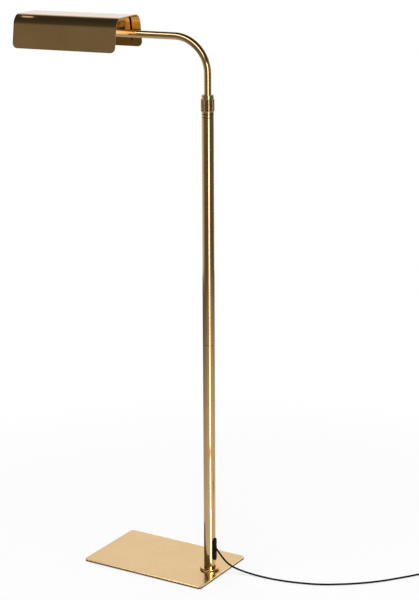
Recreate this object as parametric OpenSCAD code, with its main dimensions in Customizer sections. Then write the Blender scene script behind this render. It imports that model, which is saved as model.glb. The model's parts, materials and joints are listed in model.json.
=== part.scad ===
// Brass reading floor lamp: weighted plate, two-piece column, clamped swing arm and a folded trough shade.
// Millimetres. The origin is on the floor under the column, +Z is up and the arm reaches towards -X.

/* [Base] */
// Length of the base plate, along the arm
base_l = 296; // [240:1:360]
// Width of the base plate
base_w = 189; // [150:1:240]
// Thickness of the base plate
base_t = 5; // [5:0.5:12]
// Radius of the base plate's corners
base_corner_r = 7; // [3:0.5:15]
// Chamfer round the base plate's top edge
base_chamfer = 0.8; // [0.3:0.1:1.5]
// From the column's axis to the plate's nearer end
column_inset = 33; // [26:0.5:60]
// Thickness of the felt under the plate
felt_t = 1; // [0.8:0.1:3]
// How far the felt stays inside the plate's edge
felt_margin = 2; // [1:0.5:8]

/* [Foot] */
// Outer diameter of the foot flange
flange_od = 43; // [34:0.5:60]
// Height of the foot flange
flange_h = 4.5; // [4:0.5:12]
// Web of the flange under the column
flange_web = 2; // [1.5:0.1:3]
// Length of the threaded plug in the column's foot
foot_plug_l = 18; // [14:1:30]
// Diameter of the foot screw
foot_screw_d = 8; // [6:0.5:8]
// Diameter of the foot screw's countersunk head
foot_screw_head_d = 16; // [13:0.5:16]
// How deep the foot screw goes into its plug
foot_screw_grip = 12; // [8:0.5:13]

/* [Column] */
// Outer diameter of the column
column_od = 25; // [23:0.5:30]
// Wall of the column
column_wall = 1.5; // [1:0.1:2]
// Length of the lower column tube
lower_column_l = 502; // [300:1:700]
// Length of the upper column tube
upper_column_l = 475; // [450:1:700]
// Length of the threaded coupler at the column's seam
coupler_l = 60; // [40:1:80]
// Bore of the coupler
coupler_bore = 14; // [8:0.5:16]
// Chamfer on the column tubes' ends
tube_chamfer = 0.4; // [0.1:0.1:0.6]

/* [Cord entry] */
// Width of the slot in the column
slot_w = 11; // [9:0.5:14]
// Height of the slot in the column
slot_h = 47; // [40:0.5:60]
// From the foot plug up to the slot
slot_rise = 4; // [4:0.5:12]
// How far the grommet's lip covers the column round the slot
grommet_lip = 1.8; // [1:0.1:2.5]
// How far the grommet's lip stands off the column
grommet_proud = 2.7; // [1:0.1:3]
// How far the grommet reaches past the column's inner wall
grommet_reach = 1; // [0.5:0.1:2]

/* [Clamp] */
// Height of the ferrule's visible shoulder
ferrule_h = 12; // [9:0.5:20]
// Length of the ferrule's shank inside the column
ferrule_shank_l = 25; // [15:1:40]
// From the ferrule's lower edge to its turned groove
ferrule_groove_z = 6.4; // [2:0.1:7]
// Width of the turned groove
ferrule_groove_w = 1.2; // [0.4:0.1:1.2]
// Depth of the turned groove
ferrule_groove_depth = 0.8; // [0.2:0.1:0.8]
// Wall of the ferrule's threaded spigot
spigot_wall = 2.6; // [2:0.1:3]
// Height of the ferrule's threaded spigot
spigot_l = 16; // [12:0.5:18]
// Outer diameter of the clamp nut's knurled band
knurl_od = 27.4; // [26:0.2:32]
// Height of the knurled band
knurl_h = 25; // [24:0.5:34]
// Number of flutes round the knurled band
knurl_count = 60; // [36:1:72]
// Depth of the flutes
knurl_depth = 0.5; // [0.3:0.1:0.7]
// Outer diameter of the clamp nut's plain neck
neck_od = 25; // [23:0.5:26]
// Height of the clamp nut's plain neck
neck_h = 8.3; // [6:0.1:14]
// Undercut between the knurled band and the neck
neck_groove = 0.6; // [0.3:0.1:0.8]
// Height of the slotted collet
collet_l = 11; // [9:0.5:11]
// Plain land of the collet under its cone
collet_land = 2; // [1:0.1:3]
// Height of the closed ring at the collet's foot
collet_ring_h = 3; // [2:0.1:4]
// Number of slots in the collet
collet_slots = 4; // [3:1:6]
// Width of the collet's slots
collet_slot = 1; // [0.6:0.1:1.6]
// Height of the cone inside the clamp nut
cone_h = 12; // [10:0.5:12]

/* [Stem and arm] */
// Outer diameter of the bent arm tube
stem_od = 15; // [13:0.5:16]
// Wall of the bent arm tube
stem_wall = 1.2; // [0.8:0.1:1.6]
// Radius of the arm's bend, at the tube's centre
bend_r = 72; // [45:1:110]
// Straight stem between the clamp nut and the bend
stem_rise = 42; // [38:1:120]
// Turn of the arm from the base's long axis, in degrees
arm_turn = 6.6; // [0:0.1:30]
// Stem end above the column's coupler
stem_float = 45; // [42:1:80]
// Length of the guide bush on the stem's end
guide_l = 20; // [12:1:30]
// Height of the retaining collar over the guide bush
guide_collar_h = 4; // [3:0.5:8]
// Flange of the stem's end stop
stop_flange_h = 3; // [2:0.5:6]
// Shank of the stem's end stop
stop_shank_l = 12; // [8:1:20]

/* [Shade] */
// From the column's axis to the shade's near end
shade_start = 175; // [150:1:260]
// Length of the shade
shade_l = 236; // [225:1:320]
// Width across the shade's lower edges
shade_w = 124.6; // [116:0.2:150]
// Height of the shade
shade_h = 68; // [62:0.5:90]
// Outward lean of the shade's walls, in degrees
shade_splay = 9; // [4:0.5:14]
// Outer radius of the shade's two folds
shade_fold_r = 23; // [16:0.5:28]
// Sheet thickness of the shade
shade_t = 1; // [0.8:0.1:1.6]
// Radius of the walls' lower corners
shade_corner_r = 11; // [5:0.5:18]
// From the shade's top down to the arm's axis
shade_axis = 35; // [33:0.5:42]

/* [Reflector] */
// How far the reflector stays inside each end of the shade
reflector_setback = 22; // [15:0.5:28]
// Gap between the reflector's walls and the shade's
reflector_gap = 4; // [2:0.5:6]
// How far the reflector's edge stays above the shade's lower edge
reflector_lift = 6; // [3:0.5:12]
// Sheet thickness of the reflector
reflector_t = 0.8; // [0.6:0.1:1.2]
// Outer radius of the reflector's folds
reflector_fold_r = 22; // [16:0.5:26]

/* [Shade swivel] */
// From the shade's near end to its bracket
bracket_setback = 45; // [40:1:60]
// Width of the bracket at its foot
bracket_w = 44; // [40:1:50]
// Radius of the bracket's eye
bracket_eye_r = 14; // [12:0.5:16]
// Sheet thickness of the bracket
bracket_t = 2; // [1.5:0.1:2.5]
// Length of the bracket's foot under the reflector
bracket_foot = 22; // [20:0.5:30]
// Inner radius of the bracket's fold
bracket_fold_r = 2; // [1:0.1:3]
// Diameter of the weld studs in the shade
stud_d = 4; // [3:0.5:4]
// Distance between the studs of a pair
stud_pitch = 28; // [22:1:32]
// From the reflector's far end to the far pair of studs
stud_inset = 22; // [15:1:40]
// Height of the stud nuts
stud_nut_h = 3.2; // [2.4:0.1:4]
// Width of the stud nuts across their flats
stud_nut_w = 7; // [6:0.5:8]
// Diameter of the hub's head on the arm's end
hub_od = 20; // [18:0.5:24]
// Thickness of the hub's head
hub_head_l = 6; // [4:0.5:10]
// Length of the hub's shank in the arm
hub_shank_l = 16; // [10:1:24]
// Diameter of the hollow threaded nipple
nipple_od = 10; // [9:0.5:10]
// Bore of the nipple
nipple_bore = 6; // [5:0.5:7]
// How far the nipple goes into the hub and into the lampholder
nipple_grip = 7; // [5:0.5:7]
// Diameter of the friction washers
washer_od = 20; // [16:0.5:24]
// Thickness of each friction washer
washer_t = 1; // [0.6:0.1:1.6]
// Diameter of the spring washer
spring_od = 16; // [14:0.5:20]
// Thickness of the spring washer
spring_t = 1.4; // [1:0.1:2]
// Width of the swivel nut across its flats
swivel_nut_w = 14; // [13:0.5:17]
// Thickness of the swivel nut
swivel_nut_h = 5; // [4:0.5:7]

/* [Lampholder] */
// Diameter of the lampholder's cap
cap_od = 32.4; // [32:0.2:36]
// Length of the lampholder's cap
cap_l = 24; // [22:0.5:28]
// Diameter of the cap's threaded neck
cap_neck_od = 15; // [14:0.5:17]
// Length of the cap's threaded neck
cap_neck_l = 7; // [7:0.5:9]
// Length of the cap's sloping shoulder
cap_shoulder_l = 4; // [3:0.5:5]
// Wall of the cap and the shell
cap_wall = 0.8; // [0.6:0.1:1]
// Length of the lampholder's shell
holder_l = 40; // [38:0.5:46]
// How far the shell sits inside the cap
holder_lap = 6; // [4:0.5:8]
// How far the insulating core sits inside the shell's end
core_setback = 2; // [1:0.5:3]
// Length of the insulating core
core_l = 10; // [8:0.5:10]
// Length of the brass screw shell
screw_shell_l = 21; // [18:0.5:22]
// Wall of the brass screw shell
screw_shell_wall = 0.5; // [0.4:0.1:0.7]
// Diameter of the switch key's shaft
key_d = 4; // [3:0.5:4]
// How far the switch key's shaft goes inside the cap
key_depth = 5; // [3:0.5:8]
// How far the switch key's paddle stands off the cap
key_standoff = 2; // [1:0.5:4]
// Width of the switch key's paddle
key_w = 12; // [8:0.5:14]
// Height of the switch key's paddle
key_h = 9; // [6:0.5:9]
// Thickness of the switch key's paddle
key_t = 3.4; // [3.4:0.1:4]

/* [Bulb] */
// Diameter of the bulb's screw cap
bulb_cap_d = 26.4; // [25:0.1:26.4]
// Length of the bulb's screw cap
bulb_cap_l = 25; // [22:0.5:27]
// Diameter of the contact at the bulb's foot
contact_d = 10; // [8:0.5:12]
// Height of the contact at the bulb's foot
contact_h = 2; // [1:0.5:3]
// Height of the insulating cone over the contact
contact_cone_h = 4; // [2:0.5:5]
// Diameter of the tubular glass
bulb_d = 30; // [28:0.5:32]
// Length of the glass
bulb_l = 104; // [80:1:110]
// Thickness of the glass
bulb_t = 0.8; // [0.6:0.1:1.2]
// Length of the glass's neck
glass_neck_l = 12; // [8:0.5:16]
// Step from the screw cap in to the glass
glass_step = 1; // [0.5:0.1:2]
// Length of the glass foot that carries the filaments
filament_foot_l = 14; // [12:0.5:18]
// Diameter of the glass foot at its base
filament_foot_d = 12; // [8:0.5:14]
// Diameter of the post between the filaments
filament_post_d = 2.4; // [2:0.1:3]
// Number of light filaments
filament_n = 4; // [2:1:6]
// Diameter of a filament
filament_d = 1.8; // [1.2:0.1:2.2]
// Length of a filament
filament_l = 58; // [40:1:60]
// From the post to each filament
filament_reach = 6; // [4:0.5:8]

/* [Cord] */
// Diameter of the mains cord
cord_d = 4; // [3.6:0.1:4]
// Radius of the coil's innermost turn
coil_r_in = 17; // [16:0.5:20]
// Step between the coil's turns and layers
coil_step = 4.5; // [4.5:0.1:6]
// Width of the tie round the coil
tie_w = 10; // [6:0.5:10]
// Thickness of the tie
tie_t = 0.8; // [0.5:0.1:0.8]

/* [Plug] */
// Length of the plug's bend relief
boot_l = 22; // [20:0.5:30]
// Number of ribs on the bend relief
boot_ribs = 4; // [3:1:5]
// Height of the ribs on the bend relief
boot_rib = 1; // [0.6:0.1:1.2]
// How far the bend relief widens
boot_flare = 3; // [2:0.5:4]
// Length of the plug's body
plug_l = 36; // [30:0.5:40]
// Width of the plug's body
plug_w = 35; // [32:0.5:37]
// Thickness of the plug's body
plug_h = 13.6; // [12:0.2:15]
// Width of the plug's body where the cord goes in
plug_neck_w = 14; // [12:0.5:20]
// Width of the plug's body at its grip
plug_grip_w = 26; // [22:0.5:30]
// From the plug's cord end to its grip
plug_grip_at = 9; // [6:0.5:14]
// Length of the plug's full width behind its face
plug_face_l = 7; // [4:0.5:12]
// Chamfer along the plug's long edges
plug_chamfer = 2; // [1:0.1:3]
// Diameter of the plug's pins
pin_d = 4; // [4:0.2:4.8]
// Length of the plug's pins
pin_l = 19; // [18:0.5:20]
// Length of the rounded nose of a pin
pin_nose = 1.2; // [0.6:0.1:1.6]
// Distance between the plug's pins
pin_pitch = 18.6; // [17:0.2:19]

/* [Clearances] */
// Gap round pressed or screwed joints
thread_fit = 0.05; // [0.02:0.01:0.1]
// Gap round the guide bush in the column
slide_fit = 0.1; // [0.05:0.01:0.2]
// Gap between the stem and its bush and collet
turn_fit = 0.08; // [0.04:0.01:0.1]
// Gap round the stem in the ferrule and the clamp nut
stem_clear = 0.4; // [0.3:0.05:0.6]
// Gap between the clamp nut and the ferrule
nut_clear = 0.3; // [0.2:0.05:0.4]
// Gap between flat faces that turn on each other
face_gap = 0.1; // [0.05:0.01:0.2]
// Gap round screws, studs, cords and grommets in their holes
hole_clear = 0.2; // [0.1:0.05:0.3]

/* [Hidden] */
$fn = 64;
over = 1;

// Heights of the stand, from the floor up
plate_z = felt_t;
plate_top = plate_z + base_t;
column_z = plate_top + flange_web;
plug_top = column_z + foot_plug_l;
slot_z = plug_top + slot_rise;
seam_z = column_z + lower_column_l;
ferrule_z = seam_z + upper_column_l;
spigot_z = ferrule_z + ferrule_h;
collet_z = spigot_z + spigot_l;
nut_z = spigot_z + nut_clear;
neck_z = nut_z + knurl_h;
nut_top = neck_z + neck_h;
bend_z = nut_top + stem_rise;
arm_z = bend_z + bend_r;
stem_z = seam_z + coupler_l / 2 + stem_float;

// Radii of the column and of what runs in it
column_r = column_od / 2;
column_ri = column_r - column_wall;
press_r = column_ri - thread_fit;
stem_r = stem_od / 2;
stem_ri = stem_r - stem_wall;
spigot_r = stem_r + stem_clear + spigot_wall;

// The clamp nut's inner cone, and the collet's cone inside it
nut_bore_r = spigot_r + nut_clear;
nut_mouth_r = stem_r + stem_clear;
cone_z = collet_z + collet_land;
cone_slope = (nut_bore_r - nut_mouth_r) / cone_h;
collet_r = nut_bore_r - nut_clear;
collet_top = collet_z + collet_l;
collet_top_r = collet_r - (collet_top - cone_z + nut_clear) * cone_slope;

// Distances from the column's axis, out along the arm
bracket_at = shade_start + bracket_setback;
arm_end = bracket_at - face_gap - washer_t - hub_head_l;
washer_at = bracket_at + bracket_t + face_gap;
spring_at = washer_at + washer_t;
nut_at = spring_at + spring_t;
cap_at = nut_at + swivel_nut_h;
holder_at = cap_at + cap_l - holder_lap;
core_at = holder_at + core_setback;
bulb_at = core_at + core_l;
glass_at = bulb_at + bulb_cap_l;
shoulder_at = cap_at + cap_neck_l + cap_shoulder_l;
key_at = (shoulder_at + holder_at) / 2;

// Radii in the lampholder
cap_r = cap_od / 2;
holder_r = cap_r - cap_wall - thread_fit;
core_r = holder_r - cap_wall - thread_fit;
bulb_cap_r = bulb_cap_d / 2;
key_out = cap_r + key_standoff;

// The reflector lies against the top of the shade
reflector_at = shade_start + reflector_setback;
reflector_l = shade_l - 2 * reflector_setback;
reflector_h = shade_h - shade_t - reflector_lift;
wall_inset = (shade_t + reflector_gap) / cos(shade_splay);
reflector_half = shade_w / 2 - reflector_lift * tan(shade_splay) - wall_inset;
reflector_up = shade_axis - shade_t;
bracket_up = reflector_up - reflector_t;
near_stud = bracket_at + bracket_foot / 2 + bracket_fold_r;
far_stud = reflector_at + reflector_l - stud_inset;
stud_pairs = [[near_stud, bracket_t], [far_stud, 0]];

// The mains cord leaves the grommet slanting down
cord_exit = [14, 0, 57.8];
exit_dip = 56;
exit_turn = 23;
exit_run = 8;
cord_exit_dir = [cos(exit_dip) * cos(exit_turn), cos(exit_dip) * sin(exit_turn), -sin(exit_dip)];
lead_z = 86;
cord_r = cord_d / 2;

// A coil of four layers lies on its tie, wound inwards and outwards by turns
coil_at = [436, 207];
coil_in_angle = 142;
coil_out_angle = 15;
coil_layers = 4;
coil_whole_turns = 11;
coil_turns = coil_whole_turns + (coil_in_angle - coil_out_angle) / 360;
sweep_turns = coil_turns / coil_layers;
coil_r_out = coil_r_in + coil_step * sweep_turns;
coil_z = tie_t + hole_clear + cord_r;
coil_top = coil_z + coil_step * (coil_layers - 1);
coil_sides = 6;
loop_rings = 24;
climb_turns = 0.5;
neighbour_turns = 0.75;
cord_sides = 8;
cord_ring_step = 10;

function heading(angle) = [sin(angle), -cos(angle), 0];
function on_coil(angle, r, z) = [coil_at[0] + r * cos(angle), coil_at[1] + r * sin(angle), z];
coil_start = on_coil(coil_in_angle, coil_r_out, coil_z) - cord_d * heading(coil_in_angle);
coil_end = on_coil(coil_out_angle, coil_r_out, coil_top) + cord_d * heading(coil_out_angle);

// From inside the column, over the plate's end and across the floor to the coil
cord_route = [[0, 0, lead_z], [0, 0, lead_z - cord_d], [2.5, -1, 74.5],
              cord_exit - exit_run * cord_exit_dir, cord_exit + exit_run * cord_exit_dir,
              [27, 6, 36.2], [38, 10, 23], [47, 13, 16.5], [64, 18, 9.5], [86, 23, 4.5], [121, 26, 2],
              [156, 29, 2], [199, 39, 2], [239, 54, 2], [275, 76, 2], [309, 102, 2], [341, 133, 2],
              [370, 169, 2], [397, 205, 2.4], coil_start - cord_d * heading(coil_in_angle), coil_start];
// A level direction that the cord never runs along
across_route = [-0.5, 0.86, 0];

// From the coil's top layer down to the plug: distance along its heading, and height
plug_z = plug_h / 2;
tail_l = 44;
tail_route = [for (p = [[0, coil_top], [cord_d, coil_top], [12, 15.4], [22, 11.4], [32, 7.8],
                        [tail_l - cord_d, plug_z], [tail_l, plug_z]])
              [coil_end[0], coil_end[1], p[1]] + p[0] * heading(coil_out_angle)];
plug_at = coil_end + tail_l * heading(coil_out_angle);

// Swept tubes
function unit(v) = v / norm(v);
function along(p, i) = unit(p[min(i + 1, len(p) - 1)] - p[max(i - 1, 0)]);
function blend(a, b, c, d, t) =
    0.5 * (2 * b + (c - a) * t + (2 * a - 5 * b + 4 * c - d) * t * t + (3 * b - a - 3 * c + d) * t * t * t);
function smoothed(p, step) =
    concat([for (i = [0 : len(p) - 2], n = [ceil(norm(p[i + 1] - p[i]) / step)], k = [0 : n - 1])
            blend(p[max(i - 1, 0)], p[i], p[i + 1], p[min(i + 2, len(p) - 1)], k / n)], [p[len(p) - 1]]);
function ring(p, i, r, sides, level) =
    let (t = along(p, i), u = unit(cross(t, level)), v = cross(u, t))
    [for (k = [0 : sides - 1]) p[i] + r * (cos(360 * k / sides) * u + sin(360 * k / sides) * v)];
module tube(p, d, sides, level) {
    n = len(p);
    last = (n - 1) * sides;
    polyhedron(
        points = [for (i = [0 : n - 1]) each ring(p, i, d / 2, sides, level)],
        faces = concat(
            [for (i = [0 : n - 2], k = [0 : sides - 1])
             let (a = i * sides + k, b = i * sides + (k + 1) % sides)
             each [[a, b, b + sides], [a, b + sides, a + sides]]],
            [for (k = [1 : sides - 2]) [0, k + 1, k]],
            [for (k = [1 : sides - 2]) [last, last + k, last + k + 1]]));
}

// The coil's radius, and its eased climb from layer to layer, after u turns
function ease(t) = let (s = min(max(t, 0), 1)) s * s * (3 - 2 * s);
function coil_radius(u) =
    let (k = floor(u / sweep_turns), f = u / sweep_turns - k)
    coil_r_out - coil_step * sweep_turns * (k % 2 == 0 ? f : 1 - f);
function climbed(u, k) = k == 0 ? 0 : ease((u - k * sweep_turns) / climb_turns + 0.5) + climbed(u, k - 1);
coil_rings = round(coil_turns * loop_rings);
coil_points = concat([coil_start],
    [for (i = [0 : coil_rings]) let (u = coil_turns * i / coil_rings)
     on_coil(coil_in_angle - 360 * u, coil_radius(u), coil_z + coil_step * climbed(u, coil_layers - 1))],
    [coil_end]);
function coil_gap(p, apart) =
    min([for (i = [0 : len(p) - 1], j = [i + apart : 1 : len(p) - 1]) norm(p[i] - p[j])]) - cord_d;

// Shapes used more than once
module turned(profile) {
    rotate_extrude() polygon(profile);
}
module ring_solid(ri, ro, h, chamfer = 0) {
    turned([[ri, 0], [ro - chamfer, 0], [ro, chamfer], [ro, h - chamfer], [ro - chamfer, h], [ri, h]]);
}
module stadium(w, h) {
    square([w, h - w], center = true);
    for (y = [-1, 1])
        translate([0, y * (h - w) / 2]) circle(w / 2);
}
module chamfered_plate(l, w, h, r, c) {
    for (x = [-1, 1], y = [-1, 1])
        translate([x * (l / 2 - r), y * (w / 2 - r), 0])
            turned([[0, 0], [r, 0], [r, h - c], [r - c, h], [0, h]]);
    for (bar = [[l, w, 0], [w, l, 90]])
        let (half = bar[0] / 2)
        rotate([90, 0, bar[2]])
            linear_extrude(bar[1] - 2 * r, center = true)
                polygon([[-half, 0], [half, 0], [half, h - c], [half - c, h], [c - half, h], [-half, h - c]]);
}
module on_arm(at) {
    translate([0, 0, arm_z]) rotate([0, 0, arm_turn]) rotate([0, -90, 0]) translate([0, 0, at]) children();
}
module hex_nut(w, h, bore) {
    difference() {
        cylinder(r = w / 2 / cos(30), h = h, $fn = 6);
        translate([0, 0, -over]) cylinder(d = bore, h = h + 2 * over);
    }
}

// A sheet folded into a trough: flat top, two round folds and two leaning walls with rounded lower corners.
// Each wall's face lies a hair inside its fold's, so that the two cross cleanly.
fold_set = 0.02;
module trough_outline(fold_y, fold_r, wall, inset, past) {
    r = fold_r - inset;
    for (side = [0, 1])
        mirror([0, side]) {
            translate([-fold_r - past, 0]) square([r + past, fold_y]);
            translate([-fold_r, fold_y]) {
                intersection() {
                    circle(r);
                    square(fold_r);
                }
                rotate(90 - shade_splay) translate([-past, 0]) square([r - fold_set + past, wall + past]);
            }
        }
}
module wall_corner(corner_r) {
    difference() {
        square(corner_r + over);
        circle(corner_r);
    }
}
module folded_trough(half, h, l, fold_r, t, corner_r) {
    wall = (h - fold_r + fold_r * sin(shade_splay)) / cos(shade_splay);
    fold_y = half - fold_r * cos(shade_splay) - wall * sin(shade_splay);
    difference() {
        linear_extrude(l)
            difference() {
                trough_outline(fold_y, fold_r, wall, 0, 0);
                trough_outline(fold_y, fold_r, wall, t, over);
            }
        for (side = [0, 1], end = [0, 1])
            mirror([0, side, 0])
                translate([-fold_r, fold_y, 0])
                    rotate([0, 0, 90 - shade_splay])
                        translate([fold_r - t - over, wall - corner_r, end == 0 ? corner_r : l - corner_r])
                            rotate([90, 0, 90])
                                linear_extrude(t + 2 * over) mirror([0, 1 - end]) wall_corner(corner_r);
    }
}

// Stand
module base_plate() {
    color("#c9a875")
        difference() {
            translate([column_inset - base_l / 2, 0, plate_z])
                chamfered_plate(base_l, base_w, base_t, base_corner_r, base_chamfer);
            translate([0, 0, plate_z]) {
                translate([0, 0, -over]) cylinder(d = foot_screw_d + 2 * hole_clear, h = base_t + 2 * over);
                turned([[0, -over], [foot_screw_head_d / 2 + hole_clear + over, -over],
                        [0, foot_screw_head_d / 2 + hole_clear]]);
            }
        }
}
module base_felt() {
    color("#2a2622")
        translate([column_inset - base_l / 2, 0, 0])
            linear_extrude(felt_t) {
                l = base_l - 2 * felt_margin;
                w = base_w - 2 * felt_margin;
                square([l - 2 * base_corner_r, w], center = true);
                square([l, w - 2 * base_corner_r], center = true);
                for (x = [-1, 1], y = [-1, 1])
                    translate([x * (l / 2 - base_corner_r), y * (w / 2 - base_corner_r)])
                        circle(base_corner_r);
            }
}
module foot_flange() {
    seat_r = column_r + thread_fit;
    rim_r = flange_od / 2;
    hole_r = foot_screw_d / 2 + hole_clear;
    color("#b08a55")
        translate([0, 0, plate_top])
            turned([[hole_r, 0], [rim_r, 0], [rim_r, flange_h - base_chamfer],
                    [rim_r - base_chamfer, flange_h], [seat_r, flange_h], [seat_r, flange_web],
                    [hole_r, flange_web]]);
}
module foot_plug() {
    color("#8a8d90")
        translate([0, 0, column_z])
            ring_solid(foot_screw_d / 2 + thread_fit, press_r, foot_plug_l, tube_chamfer);
}
module foot_screw() {
    shank = foot_screw_d / 2;
    head = foot_screw_head_d / 2;
    tip = base_t + flange_web + foot_screw_grip;
    color("#777a7d")
        translate([0, 0, plate_z])
            turned([[0, 0], [head, 0], [shank, head - shank], [shank, tip - tube_chamfer],
                    [shank - tube_chamfer, tip], [0, tip]]);
}
module lower_column() {
    color("#a8845a")
        difference() {
            translate([0, 0, column_z]) ring_solid(column_ri, column_r, lower_column_l, tube_chamfer);
            through_slot(0, column_r + over);
        }
}
module column_coupler() {
    color("#8f7346")
        translate([0, 0, seam_z - coupler_l / 2])
            ring_solid(coupler_bore / 2, press_r, coupler_l, tube_chamfer);
}
module upper_column() {
    color("#a07c50")
        translate([0, 0, seam_z]) ring_solid(column_ri, column_r, upper_column_l, tube_chamfer);
}
module column_ferrule() {
    bore = stem_r + stem_clear;
    edge = column_r - tube_chamfer;
    low = ferrule_groove_z;
    high = ferrule_groove_z + ferrule_groove_w;
    deep = column_r - ferrule_groove_depth;
    top = ferrule_h + spigot_l;
    color("#b58d55")
        translate([0, 0, ferrule_z])
            turned([[bore, -ferrule_shank_l], [press_r, -ferrule_shank_l], [press_r, 0], [edge, 0],
                    [column_r, tube_chamfer], [column_r, low], [deep, low], [deep, high], [column_r, high],
                    [column_r, ferrule_h - tube_chamfer], [edge, ferrule_h], [spigot_r, ferrule_h],
                    [spigot_r, top], [bore, top]]);
}
module split_collet() {
    bore = stem_r + turn_fit;
    color("#d8d2c4")
        difference() {
            turned([[bore, collet_z], [collet_r, collet_z], [collet_r, cone_z - nut_clear],
                    [collet_top_r, collet_top], [bore, collet_top]]);
            for (k = [0 : collet_slots - 1])
                rotate([0, 0, 360 * (k + 0.5) / collet_slots])
                    translate([0, -collet_slot / 2, collet_z + collet_ring_h])
                        cube([collet_r + over, collet_slot, collet_l]);
        }
}
module clamp_nut() {
    flute_r = knurl_od / 2;
    root_r = flute_r - knurl_depth;
    neck_r = neck_od / 2;
    color("#b98f58")
        difference() {
            union() {
                intersection() {
                    translate([0, 0, nut_z])
                        linear_extrude(knurl_h)
                            polygon([for (k = [0 : 2 * knurl_count - 1])
                                     let (a = 180 * k / knurl_count)
                                     (k % 2 == 0 ? flute_r : root_r) * [cos(a), sin(a)]]);
                    translate([0, 0, nut_z])
                        turned([[0, 0], [root_r, 0], [flute_r, knurl_depth], [flute_r, knurl_h - knurl_depth],
                                [root_r, knurl_h], [0, knurl_h]]);
                }
                translate([0, 0, neck_z])
                    turned([[0, -over], [neck_r - neck_groove, -over], [neck_r - neck_groove, neck_groove],
                            [neck_r, neck_groove], [neck_r, neck_h - tube_chamfer],
                            [neck_r - tube_chamfer, neck_h], [0, neck_h]]);
            }
            turned([[0, nut_z - over], [nut_bore_r, nut_z - over], [nut_bore_r, cone_z],
                    [nut_mouth_r, cone_z + cone_h], [nut_mouth_r, nut_top + over], [0, nut_top + over]]);
        }
}
module through_slot(grow, reach) {
    translate([0, 0, slot_z + slot_h / 2])
        rotate([90, 0, 90])
            linear_extrude(reach) stadium(slot_w + 2 * grow, slot_h + 2 * grow);
}
module cord_grommet() {
    color("#161616")
        difference() {
            intersection() {
                union() {
                    through_slot(-hole_clear, column_od);
                    difference() {
                        through_slot(grommet_lip, column_od);
                        cylinder(r = column_r + thread_fit, h = slot_z + 2 * slot_h);
                    }
                }
                translate([0, 0, slot_z - slot_h])
                    ring_solid(column_ri - grommet_reach, column_r + grommet_proud, 3 * slot_h);
            }
            translate(cord_exit)
                rotate([0, 90 - asin(cord_exit_dir[2]), atan2(cord_exit_dir[1], cord_exit_dir[0])])
                    cylinder(d = cord_d + 2 * hole_clear, h = 2 * column_od, center = true);
        }
}
module column_lead() {
    color("#222222") translate([0, 0, lead_z]) cylinder(d = cord_d, h = stem_z - stop_flange_h - lead_z);
}

// Arm, from the foot of the stem to its hub
module arm_path(ri, ro, at, end) {
    rotate([0, 0, arm_turn]) {
        translate([0, 0, at]) ring_solid(ri, ro, bend_z - at);
        translate([-bend_r, 0, bend_z])
            rotate([90, 0, 0])
                rotate_extrude(angle = 90)
                    translate([bend_r, 0])
                        difference() {
                            circle(ro);
                            if (ri > 0) circle(ri);
                        }
        translate([-bend_r, 0, arm_z]) rotate([0, -90, 0]) ring_solid(ri, ro, end - bend_r);
    }
}
module arm_tube() {
    color("#c99f58") arm_path(stem_ri, stem_r, stem_z, arm_end);
}
module arm_lead() {
    color("#222222") arm_path(0, cord_r, stem_z - stop_flange_h, cap_at + cap_neck_l);
}
module stem_guide() {
    color("#e8e4da")
        translate([0, 0, stem_z + face_gap])
            ring_solid(stem_r + turn_fit, column_ri - slide_fit, guide_l, tube_chamfer);
}
module guide_collar() {
    color("#8f7346")
        translate([0, 0, stem_z + guide_l + 2 * face_gap])
            ring_solid(stem_r + thread_fit, column_ri - stem_clear, guide_collar_h, tube_chamfer);
}
module stem_stop() {
    bore = cord_r + hole_clear;
    rim = column_ri - stem_clear;
    shank = stem_ri - thread_fit;
    color("#8f7346")
        translate([0, 0, stem_z])
            turned([[bore, -stop_flange_h], [rim, -stop_flange_h], [rim, 0], [shank, 0],
                    [shank, stop_shank_l], [bore, stop_shank_l]]);
}
module swivel_hub() {
    bore = nipple_od / 2 + thread_fit;
    shank = stem_ri - thread_fit;
    head = hub_od / 2;
    color("#c09552")
        on_arm(arm_end)
            turned([[bore, -hub_shank_l], [shank, -hub_shank_l], [shank, 0], [head, 0],
                    [head, hub_head_l - tube_chamfer], [head - tube_chamfer, hub_head_l],
                    [bore, hub_head_l]]);
}
module swivel_nipple() {
    from = arm_end + hub_head_l - nipple_grip;
    length = cap_at + nipple_grip - from;
    color("#9a7d45") on_arm(from) ring_solid(nipple_bore / 2, nipple_od / 2, length, tube_chamfer);
}
module friction_washers() {
    color("#6b5a45")
        for (at = [arm_end + hub_head_l, washer_at])
            on_arm(at) ring_solid(nipple_od / 2 + hole_clear, washer_od / 2, washer_t);
}
module spring_washer() {
    color("#9b9b98") on_arm(spring_at) ring_solid(nipple_od / 2 + hole_clear, spring_od / 2, spring_t);
}
module swivel_nut() {
    color("#b08d4e") on_arm(nut_at) hex_nut(swivel_nut_w, swivel_nut_h, nipple_od + 2 * thread_fit);
}

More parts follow.
